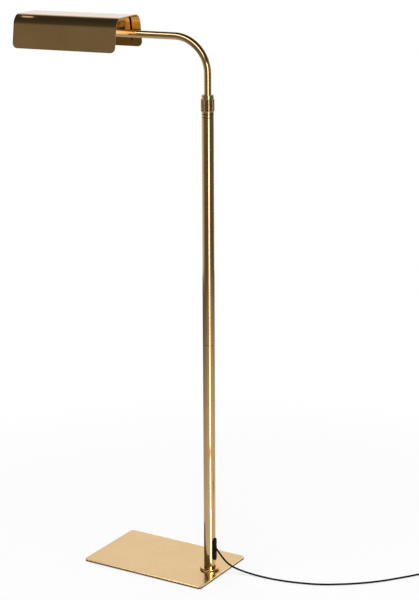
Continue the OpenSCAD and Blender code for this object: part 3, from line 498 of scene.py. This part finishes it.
def makeFerrule():
    low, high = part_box("column_ferrule")
    base = columnHigh.z
    top = base + ferrule["shoulder"]
    seamTop = base + ferrule["seamWide"]
    grooveLow = base + ferrule["grooveAt"]
    grooveTop = grooveLow + ferrule["grooveWide"]
    seamR, grooveR = columnR - ferrule["seamDeep"], columnR - ferrule["grooveDeep"]
    inner, spigot, bore = columnR - ferrule["tubeWall"], ferrule["spigotR"], ferrule["boreR"]
    edge = ferrule["chamfer"]
    bm = turnedPiece([(bore, low.z), (inner, low.z), (inner, base), (seamR, base), (seamR, seamTop),
                      (columnR, seamTop), (columnR, grooveLow), (grooveR, grooveLow), (grooveR, grooveTop),
                      (columnR, grooveTop), (columnR, top - edge), (columnR - edge, top), (spigot, top),
                      (spigot, high.z), (bore, high.z)])
    for face in bm.faces:
        # painted shade: seam and groove are darkened, the lip at the top isn't
        middle = face.calc_center_median()
        sunk = middle.to_2d().length < columnR - ferrule["skin"]
        if base < middle.z < top - ferrule["lip"] and sunk:
            face.material_index = 1
    return finishPiece("columnFerrule", bm, "stand", "column_ferrule", looks=("satin_brass", "painted_shade_groove"))


makeFlange()
easedCopy("lowerColumn", "lower_column")
easedCopy("upperColumn", "upper_column")
makeFerrule()


# Cord grommet: a soft oblong lip round the column's slot, with a slanting hole for the cord
grommet = {"endSteps": 16, "lip": 2.0 * mm, "soft": 1.3 * mm, "softSteps": 5, "holeR": 2.3 * mm,
           "holeDeep": 2.5 * mm, "capSteps": 4, "sharp": 50}


def oblong(half, straight, middle):
    # (y, z) points round an oblong that stands on end
    steps = grommet["endSteps"]
    turns = [math.pi * k / steps for k in range(steps + 1)]
    return [(side * half * math.cos(turn), middle + side * (straight + half * math.sin(turn)))
            for side in (1, -1) for turn in turns]


def slantedHole(leaving, count, outer):
    # (y, z) points where the cord's hole comes through the lip
    start = Vector(cord["leave"])
    middle = start + leaving * ((outer - start.x) / leaving.x)
    slope = math.atan2(leaving.y, -leaving.z)
    points = []
    for k in range(count):
        turn = 2 * math.pi * (k + 0.5) / count
        across, along = grommet["holeR"] * math.cos(turn), grommet["holeR"] / leaving.x * math.sin(turn)
        points.append((middle.y + across * math.cos(slope) - along * math.sin(slope),
                       middle.z + across * math.sin(slope) + along * math.cos(slope)))
    return points


def makeGrommet():
    low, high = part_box("cord_grommet")
    half, middle = (high.y - low.y) / 2, (high.z + low.z) / 2
    straight = (high.z - low.z) / 2 - half
    slot = oblong(half - grommet["lip"], straight, middle)
    leaving = cordLeaving()
    hole = slantedHole(leaving, len(slot), high.x)
    bm = bmesh.new()
    loops = []

    def addRing(points, radius, back=0.0, shift=Vector()):
        places = [Vector((math.sqrt(radius ** 2 - y ** 2) - back, y, z)) + shift for y, z in points]
        ring = [bm.verts.new(place) for place in places]
        loops.append([bm.edges.new(pair) for pair in zip(ring, ring[1:] + ring[:1])])

    addRing(slot, math.hypot(low.x, half - grommet["lip"]))
    addRing(slot, columnR)
    addRing(oblong(half, straight, middle), columnR)
    for k in range(grommet["softSteps"] + 1):
        turn = math.pi / 2 * k / grommet["softSteps"]
        addRing(oblong(half - grommet["soft"] * (1 - math.cos(turn)), straight, middle), high.x,
                grommet["soft"] * (1 - math.sin(turn)))
    rim = oblong(half - grommet["soft"], straight, middle)
    for k in range(1, grommet["capSteps"] + 1):
        share = k / grommet["capSteps"]
        addRing([(y + share * (holeY - y), z + share * (holeZ - z))
                 for (y, z), (holeY, holeZ) in zip(rim, hole)], high.x)
    addRing(hole, high.x, shift=leaving * (-grommet["holeDeep"] / leaving.x))
    bridgeRings(bm, loops)
    return finishPiece("cordGrommet", bm, "stand", "cord_grommet", sharp=grommet["sharp"])


makeGrommet()


# Lead inside the column, from its fixed foot up to the arm's stem
lead = {"sides": 16, "steps": 30}


def makeLead():
    low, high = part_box("column_lead")
    bm = bmesh.new()
    made = bmesh.ops.create_circle(bm, cap_ends=False, segments=lead["sides"], radius=cord["thick"] / 2,
                                   matrix=Matrix.Translation((0, 0, low.z)))
    edges = ringEdges(made)
    for step in range(lead["steps"]):
        grown = bmesh.ops.extrude_edge_only(bm, edges=edges)["geom"]
        bmesh.ops.translate(bm, vec=(0, 0, (high.z - low.z) / lead["steps"]), verts=pointsOf(grown))
        edges = boundaryEdges(grown)
    bmesh.ops.holes_fill(bm, edges=boundaryEdges(bm.edges), sides=0)
    bmesh.ops.recalc_face_normals(bm, faces=bm.faces)
    return finishPiece("columnLead", bm, ("stand", "riser", (0, 0, low.z), (0, 0, high.z)), "column_lead")


makeLead()
print("stand made")


# Clamp nut: a fluted band under a plain neck
nut = {"flutes": 60, "perFlute": 3, "flute": 0.4 * mm, "band": 25 * mm, "bandR": 13.7 * mm,
       "neckR": 12.5 * mm, "groove": 0.6 * mm, "mouth": 7.9 * mm, "ease": 0.7 * mm, "neckEase": 0.15 * mm,
       "relief": 2 * mm, "coneTop": 4 * mm, "coneFoot": 6 * mm, "skin": 0.1 * mm, "sharp": 25}


def fluteRing(bm, radius, height, flute=0.0):
    # one point of each flute drops into a groove, so a land is left between two grooves
    count = nut["perFlute"] * nut["flutes"]
    made = bmesh.ops.create_circle(bm, cap_ends=False, segments=count, radius=radius)
    for k, vertex in enumerate(made["verts"]):
        if k % nut["perFlute"] == 0:
            vertex.co *= (radius - flute) / radius
        vertex.co.z = height
    return ringEdges(made)


def makeNut():
    low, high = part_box("clamp_nut")
    bandR, neckR, mouth, edge, flute = (nut[key] for key in ("bandR", "neckR", "mouth", "ease", "flute"))
    bandTop = low.z + nut["band"]
    grooveTop = bandTop + nut["groove"]
    root, groove, inside = bandR - edge, neckR - nut["groove"], mouth + nut["relief"]
    rings = [(inside, low.z), (root, low.z), (bandR, low.z + edge, flute), (bandR, bandTop - edge, flute),
             (root, bandTop), (groove, bandTop), (groove, grooveTop), (neckR, grooveTop),
             (neckR, high.z - edge), (neckR - nut["neckEase"], high.z - nut["neckEase"]),
             (neckR - edge, high.z), (mouth, high.z), (mouth, high.z - nut["coneTop"]),
             (inside, low.z + nut["coneFoot"])]
    bm = bmesh.new()
    bridgeRings(bm, [fluteRing(bm, *ring) for ring in rings])
    # painted shade on the sunk flute faces; worn brass with a painted highlight on the band's chamfers
    for face in bm.faces:
        middle = face.calc_center_median()
        reach = middle.to_2d().length
        onBand = low.z + edge < middle.z < bandTop - edge
        if onBand and neckR < reach < bandR - nut["skin"]:
            face.material_index = 1
        elif reach > neckR and not onBand:
            face.material_index = 2
    return finishPiece("clampNut", bm, "clamp", "clamp_nut", sharp=nut["sharp"],
                       looks=("satin_brass", "painted_shade_knurl", "worn_and_highlit_edge"))


makeNut()


# Bent arm tube: one round section drawn up the stem, round the bend and out along the arm
arm = {"r": 7.5 * mm, "bend": 72 * mm, "sides": 48, "bendSteps": 40}


def makeArm():
    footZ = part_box("arm_tube")[0].z
    armEnd = boxAlongArm("arm_tube")[1].z
    bendZ = armZ - arm["bend"]
    bm = bmesh.new()
    made = bmesh.ops.create_circle(bm, cap_ends=True, segments=arm["sides"], radius=arm["r"],
                                   matrix=Matrix.Translation((0, 0, footZ)))
    raised = bmesh.ops.extrude_edge_only(bm, edges=ringEdges(made))["geom"]
    bmesh.ops.translate(bm, vec=(0, 0, bendZ - footZ), verts=pointsOf(raised))
    spun = bmesh.ops.spin(bm, geom=boundaryEdges(raised), cent=(-arm["bend"], 0, bendZ), axis=(0, -1, 0),
                          angle=math.radians(90), steps=arm["bendSteps"], use_duplicate=False)["geom_last"]
    reached = bmesh.ops.extrude_edge_only(bm, edges=boundaryEdges(spun))["geom"]
    bmesh.ops.translate(bm, vec=(arm["bend"] - armEnd, 0, 0), verts=pointsOf(reached))
    bmesh.ops.holes_fill(bm, edges=boundaryEdges(bm.edges), sides=0)
    bmesh.ops.transform(bm, matrix=Matrix.Rotation(armTurn, 4, "Z"), verts=bm.verts)
    bmesh.ops.remove_doubles(bm, verts=bm.verts, dist=weld)
    bmesh.ops.recalc_face_normals(bm, faces=bm.faces)
    return finishPiece("armTube", bm, "arm", "arm_tube")


makeArm()
print("arm made")


# Folded sheets: the shade and the reflector in it
sheets = {
    "shadeShell": {"node": "shade_shell", "fold": 23 * mm, "thick": 1 * mm, "lean": 9, "corner": 11 * mm,
                   "looks": ("shade_brass", "worn_and_highlit_edge", "reflector_brass")},
    "reflectorSheet": {"node": "reflector", "fold": 22 * mm, "thick": 0.8 * mm, "lean": 9,
                       "corner": 11 * mm, "looks": ("reflector_brass", "worn_and_highlit_edge", "reflector_brass")},
}
# an edge beside each fold keeps the flats flat
sheetWork = {"foldSteps": 18, "cornerSteps": 8, "beside": 2 * mm, "sharp": 30}


def makeSheet(name):
    sheet = sheets[name]
    low, high = boxAlongArm(sheet["node"])
    lean, fold = math.radians(sheet["lean"]), sheet["fold"]
    wall = (high.x - low.x - fold + fold * math.sin(lean)) / math.cos(lean)
    foldY = high.y - fold * math.cos(lean) - wall * math.sin(lean)
    centre = Vector((high.x - fold, foldY, low.z))
    foldEnd = centre + fold * Vector((math.sin(lean), math.cos(lean), 0))
    down = Vector((-math.cos(lean), math.sin(lean), 0))
    bm = bmesh.new()
    flat = [bm.verts.new((high.x, y, low.z)) for y in (0, foldY - sheetWork["beside"], foldY)]
    for pair in zip(flat, flat[1:]):
        bm.edges.new(pair)
    bmesh.ops.spin(bm, geom=[flat[-1]], cent=centre, axis=(0, 0, 1), angle=math.pi / 2 - lean,
                   steps=sheetWork["foldSteps"], use_duplicate=False)
    last = min(bm.verts, key=lambda vertex: (vertex.co - foldEnd).length)
    for reach in (sheetWork["beside"], wall):
        lower = bm.verts.new(foldEnd + reach * down)
        bm.edges.new((last, lower))
        last = lower
    bmesh.ops.mirror(bm, geom=bm.verts[:] + bm.edges[:], axis="Y", merge_dist=weld)
    run = bmesh.ops.extrude_edge_only(bm, edges=bm.edges[:])["geom"]
    bmesh.ops.translate(bm, vec=(0, 0, high.z - low.z), verts=pointsOf(run))
    bmesh.ops.remove_doubles(bm, verts=bm.verts, dist=weld)
    footX = min(vertex.co.x for vertex in bm.verts)
    corners = [vertex for vertex in bm.verts if vertex.co.x < footX + weld]
    bmesh.ops.bevel(bm, geom=corners, offset=sheet["corner"], offset_type="OFFSET", affect="VERTICES",
                    segments=sheetWork["cornerSteps"], profile=0.5, material=-1)
    bmesh.ops.recalc_face_normals(bm, faces=bm.faces)
    topFace = max(bm.faces, key=lambda face: face.calc_center_median().x)
    if topFace.normal.x < 0:
        bmesh.ops.reverse_faces(bm, faces=bm.faces)
    outside = set(bm.verts)
    bmesh.ops.solidify(bm, geom=bm.faces[:], thickness=sheet["thick"])
    for face in bm.faces:
        shared = sum(vertex in outside for vertex in face.verts)
        # edge faces take worn brass with a painted highlight
        face.material_index = 0 if shared == len(face.verts) else 2 if shared == 0 else 1
    counts = [sum(face.material_index == k for face in bm.faces) for k in range(3)]
    print(name, "faces outside, on the edge, inside:", counts)
    bmesh.ops.transform(bm, matrix=alongArm, verts=bm.verts)
    return finishPiece(name, bm, "shade", sheet["node"], sharp=sheetWork["sharp"], looks=sheet["looks"])


for name in sheets:
    makeSheet(name)
print("shade made")


# Swivel, lampholder, bulb, tie and plug: the CAD shapes, with edges broken by so many millimetres
fittings = {
    "swivelHub": ("swivel_hub", 0.3), "frictionWashers": ("friction_washers", 0.1),
    "springWasher": ("spring_washer", 0.2), "swivelNut": ("swivel_nut", 0.3),
    "swivelNipple": ("swivel_nipple", 0), "shadeBracket": ("shade_bracket", 0.3),
    "shadeStuds": ("shade_studs", 0.2), "studNuts": ("stud_nuts", 0.2),
    "holderCap": ("holder_cap", 0), "holderShell": ("holder_shell", 0),
    "holderCore": ("holder_core", 0), "screwShell": ("screw_shell", 0),
    "switchKey": ("switch_key", 0.5), "bulbCap": ("bulb_cap", 0.3),
    "bulbGlass": ("bulb_glass", 0), "bulbFilaments": ("bulb_filaments", 0),
    "cordTie": ("cord_tie", 0.2), "plugBoot": ("plug_boot", 0.2),
    "plugBody": ("plug_body", 0.8), "plugPins": ("plug_pins", 0.2),
}
pieces = {name: easedCopy(name, node, ease=ease * mm) for name, (node, ease) in fittings.items()}
for node, carried in nodes.items():
    if not carried.hide_render:
        carried.data.materials.clear()
        carried.data.materials.append(finishes[slotOf[node]])
print("fittings finished")


# Floor: pale paper that keeps the shadow near the lamp and goes over into the white ground
floorLook = {"at": (0.05, 0.02, -0.2 * mm), "reach": 2.6, "sides": 96, "colour": (0.98, 0.98, 0.975),
             "rough": 0.9, "shadow": 0.40, "fadeFrom": 0.30, "fadeTo": 1.2, "mirrorShare": 0.90,
             "mirrorFrom": (0.35, -0.35, 0.0), "mirrorLevel": (0.82, 0.12, 0.45, 2.35)}


def lightMath(tree, kind, first, second):
    node = addNode(tree, "ShaderNodeMath", operation=kind)
    for socket, value in zip(node.inputs, (first, second)):
        if isinstance(value, (int, float)):
            socket.default_value = value
        else:
            tree.links.new(value, socket)
    return node.outputs["Value"]


def makeFloor():
    bm = bmesh.new()
    bmesh.ops.create_circle(bm, cap_ends=True, segments=floorLook["sides"], radius=floorLook["reach"],
                            matrix=Matrix.Translation(floorLook["at"]))
    mesh = bpy.data.meshes.new("floor")
    bm.to_mesh(mesh)
    bm.free()
    material, tree, shader = newMaterial("floorPaper")
    shader.inputs["Base Color"].default_value = (*floorLook["colour"], 1)
    shader.inputs["Roughness"].default_value = floorLook["rough"]
    path = addNode(tree, "ShaderNodeLightPath")
    place = addNode(tree, "ShaderNodeTexCoord")
    away = addNode(tree, "ShaderNodeVectorMath", operation="LENGTH")
    tree.links.new(place.outputs["Object"], away.inputs[0])
    distance = away.outputs["Value"]
    seen = between(tree, distance, 1 - floorLook["shadow"], 1.0, floorLook["fadeFrom"], floorLook["fadeTo"])
    # metal shows the floor bright beside the lamp and dimmer farther off
    turn = addNode(tree, "ShaderNodeVectorRotate", rotation_type="Z_AXIS")
    turn.inputs["Angle"].default_value = math.radians(-view["yaw"])
    tree.links.new(place.outputs["Object"], turn.inputs["Vector"])
    apart = addNode(tree, "ShaderNodeVectorMath", operation="DISTANCE")
    apart.inputs[1].default_value = floorLook["mirrorFrom"]
    tree.links.new(turn.outputs["Vector"], apart.inputs[0])
    mirrored = between(tree, apart.outputs["Value"], *floorLook["mirrorLevel"])
    toMetal = path.outputs["Is Glossy Ray"]
    white = addNode(tree, "ShaderNodeEmission")
    tree.links.new(lightMath(tree, "MAXIMUM", mirrored, lightMath(tree, "SUBTRACT", 1.0, toMetal)),
                   white.inputs["Strength"])
    toEye = lightMath(tree, "MAXIMUM", lightMath(tree, "MULTIPLY", path.outputs["Is Camera Ray"], seen),
                      path.outputs["Is Transmission Ray"])
    toMetalShare = lightMath(tree, "MULTIPLY", toMetal, floorLook["mirrorShare"])
    mix = addNode(tree, "ShaderNodeMixShader")
    tree.links.new(lightMath(tree, "MAXIMUM", toEye, toMetalShare), mix.inputs["Fac"])
    tree.links.new(shader.outputs["BSDF"], mix.inputs[1])
    tree.links.new(white.outputs["Emission"], mix.inputs[2])
    tree.links.new(mix.outputs["Shader"], tree.nodes["Material Output"].inputs["Surface"])
    mesh.materials.append(material)
    floor = bpy.data.objects.new("floor", mesh)
    bpy.context.scene.collection.objects.link(floor)


makeFloor()


# Studio: white ground behind and to the left, a dim room in front, dark overhead
studio = {"dim": (1.0, 0.96, 0.90), "low": (25, 0.0, 0.85), "high": (-10, 0.5, 0.9), "meet": (-0.08, 0.06),
          "room": [(-1.0, 0.08), (-0.35, 0.10), (0.13, 0.25), (0.40, 0.08), (1.0, 0.04)],
          "ground": [(-1.0, 1.0), (0.50, 1.0), (0.76, 0.06), (1.0, 0.04)]}

# Soft boxes: overhead and bendBox light the lamp, the others only draw reflections on what shownBy names
uprights = ["lowerColumn", "upperColumn", "columnFerrule", "clampNut", "armTube", "footFlange"]
coolWhite = (0.84, 0.86, 1.0)
straightUp = (0, 0, 1)
outwards = (-0.910, 0.414, 0)  # along the arm
softBoxes = {
    "columnBox": {"at": (0.17, -0.50, 0.65), "towards": (0.0, 0.0, 0.65), "along": straightUp,
                  "long": 1.10, "wide": 0.17, "watts": 2.9, "tint": coolWhite, "shownBy": uprights},
    "footBox": {"at": (0.073, -0.20, 0.12), "towards": (0.0, 0.0, 0.12), "along": straightUp,
                "long": 0.14, "wide": 0.066, "watts": 0.14, "tint": coolWhite, "shownBy": uprights},
    "nearBox": {"at": (0.017, -0.047, 0.068), "towards": (0.0, 0.0, 0.068), "along": straightUp,
                "long": 0.122, "wide": 0.0155, "watts": 0.028, "tint": coolWhite, "shownBy": uprights},
    "bendBox": {"at": (-1.20, -2.00, 3.06), "towards": (-0.05, 0.02, 1.14), "along": (0.748, -0.589, -0.308),
                "long": 4.7, "wide": 1.20, "watts": 58.0, "tint": coolWhite, "hiddenFrom": ["shadeShell"]},
    "rimBox": {"at": (-1.05, 0.05, 1.80), "towards": (-0.15, 0.0, 0.0), "along": (0, 1, 0),
               "long": 1.4, "wide": 1.4, "watts": 11.5, "shownBy": ["basePlate"]},
    "endBox": {"at": (1.35, 1.15, 1.10), "towards": (0.05, 0.0, 0.0), "along": (0.66, -0.75, 0),
               "long": 1.0, "wide": 0.9, "watts": 4.8, "shownBy": ["basePlate"]},
    "mouthBox": {"at": (-0.1944, 0.0670, 1.1627), "towards": (-0.1738, 0.0792, 1.1446), "along": outwards,
                 "long": 0.07, "wide": 0.045, "watts": 0.0113, "tint": (1.0, 0.86, 0.72),
                 "shownBy": ["armTube"]},
    "sideBox": {"at": (-0.1985, 0.0535, 1.1405), "towards": (-0.1745, 0.0710, 1.1455), "along": outwards,
                "long": 0.032, "wide": 0.030, "watts": 0.0022, "tint": (1.0, 0.84, 0.62),
                "shownBy": ["armTube"]},
    "glowBox": {"at": (-0.165, 0.105, 1.147), "towards": (-0.143, 0.121, 1.159), "along": outwards,
                "long": 0.046, "wide": 0.022, "watts": 0.00125, "tint": (1.0, 0.60, 0.14),
                "shownBy": ["shadeShell", "reflectorSheet"]},
    "foldBox": {"at": (-0.4090, 0.1470, 1.2609), "towards": (-0.3674, 0.1172, 1.1750), "along": outwards,
                "long": 0.022, "wide": 0.036, "watts": 0.0025, "tint": coolWhite,
                "shownBy": ["shadeShell"]},
    "overhead": {"at": (0.0, 0.1, 2.7), "towards": (0.0, 0.0, 0.0), "along": (1, 0, 0),
                 "long": 1.8, "wide": 1.8, "watts": 57.0, "mirrored": False},
}


def levelRamp(tree, height, stops):
    ramp = addNode(tree, "ShaderNodeValToRGB")
    while len(ramp.color_ramp.elements) < len(stops):
        ramp.color_ramp.elements.new(0.5)
    for element, (level, light) in zip(ramp.color_ramp.elements, stops):
        element.position = (level + 1) / 2
        element.color = (light, light, light, 1)
    tree.links.new(height, ramp.inputs["Fac"])
    return ramp.outputs["Color"]


def wallBehind(tree, place, lean, start, full):
    # how far a direction points at the white wall behind the lamp
    turn = addNode(tree, "ShaderNodeVectorRotate", rotation_type="Z_AXIS")
    turn.inputs["Angle"].default_value = math.radians(-view["yaw"] - lean)
    tree.links.new(place, turn.inputs["Vector"])
    split = addNode(tree, "ShaderNodeSeparateXYZ")
    tree.links.new(turn.outputs["Vector"], split.inputs["Vector"])
    return between(tree, split.outputs["Y"], 0, 1, start, full), split.outputs["Z"]


def makeWorld():
    world = bpy.data.worlds.new("studio")
    bpy.context.scene.world = world
    world.use_nodes = True
    tree = world.node_tree
    ground = tree.nodes["Background"]
    place = addNode(tree, "ShaderNodeTexCoord").outputs["Generated"]
    low, z = wallBehind(tree, place, *studio["low"])
    high, z = wallBehind(tree, place, *studio["high"])
    wall = addNode(tree, "ShaderNodeMix")
    tree.links.new(between(tree, z, 0, 1, *studio["meet"]), wall.inputs["Factor"])
    tree.links.new(low, wall.inputs["A"])
    tree.links.new(high, wall.inputs["B"])
    height = between(tree, z, 0, 1, -1, 1)
    room = addNode(tree, "ShaderNodeMix", data_type="RGBA", blend_type="MULTIPLY")
    room.inputs["Factor"].default_value = 1.0
    room.inputs["B"].default_value = (*studio["dim"], 1)
    tree.links.new(levelRamp(tree, height, studio["room"]), room.inputs["A"])
    behind = lightMath(tree, "MULTIPLY", wall.outputs["Result"], levelRamp(tree, height, studio["ground"]))
    path = addNode(tree, "ShaderNodeLightPath")
    toMetal = lightMath(tree, "MAXIMUM", path.outputs["Is Glossy Ray"], path.outputs["Is Diffuse Ray"])
    toEye = lightMath(tree, "MAXIMUM", path.outputs["Is Camera Ray"], path.outputs["Is Transmission Ray"])
    whiteShare = lightMath(tree, "MAXIMUM", toEye, lightMath(tree, "MULTIPLY", toMetal, behind))
    mix = addNode(tree, "ShaderNodeMix", data_type="RGBA")
    mix.inputs["B"].default_value = (1, 1, 1, 1)
    tree.links.new(whiteShare, mix.inputs["Factor"])
    tree.links.new(room.outputs["Result"], mix.inputs["A"])
    tree.links.new(mix.outputs["Result"], ground.inputs["Color"])


def makeSoftBox(name):
    # places are in the camera's own directions: right, away from it and up
    look = softBoxes[name]
    turn = Matrix.Rotation(math.radians(view["yaw"]), 3, "Z")
    at, towards, along = (turn @ Vector(look[key]) for key in ("at", "towards", "along"))
    data = bpy.data.lights.new(name, "AREA")
    data.shape = "RECTANGLE"
    data.size = look["long"]
    data.size_y = look["wide"]
    data.energy = look["watts"]
    data.color = look.get("tint", (1.0, 1.0, 1.0))
    box = bpy.data.objects.new(name, data)
    bpy.context.scene.collection.objects.link(box)
    back = (at - towards).normalized()
    side = (along - along.dot(back) * back).normalized()
    box.matrix_world = Matrix.Translation(at) @ Matrix((side, back.cross(side), back)).transposed().to_4x4()
    box.visible_camera = False
    box.visible_glossy = look.get("mirrored", True)
    for key, state in (("shownBy", "INCLUDE"), ("hiddenFrom", "EXCLUDE")):
        if key in look:
            linked = bpy.data.collections.new(name + "Pieces")
            for piece in look[key]:
                linked.objects.link(bpy.data.objects[piece])
            for held in linked.collection_objects:
                held.light_linking.link_state = state
            box.light_linking.receiver_collection = linked


makeWorld()
for name in softBoxes:
    makeSoftBox(name)
bpy.context.scene.view_settings.view_transform = "Standard"
print("studio lit")
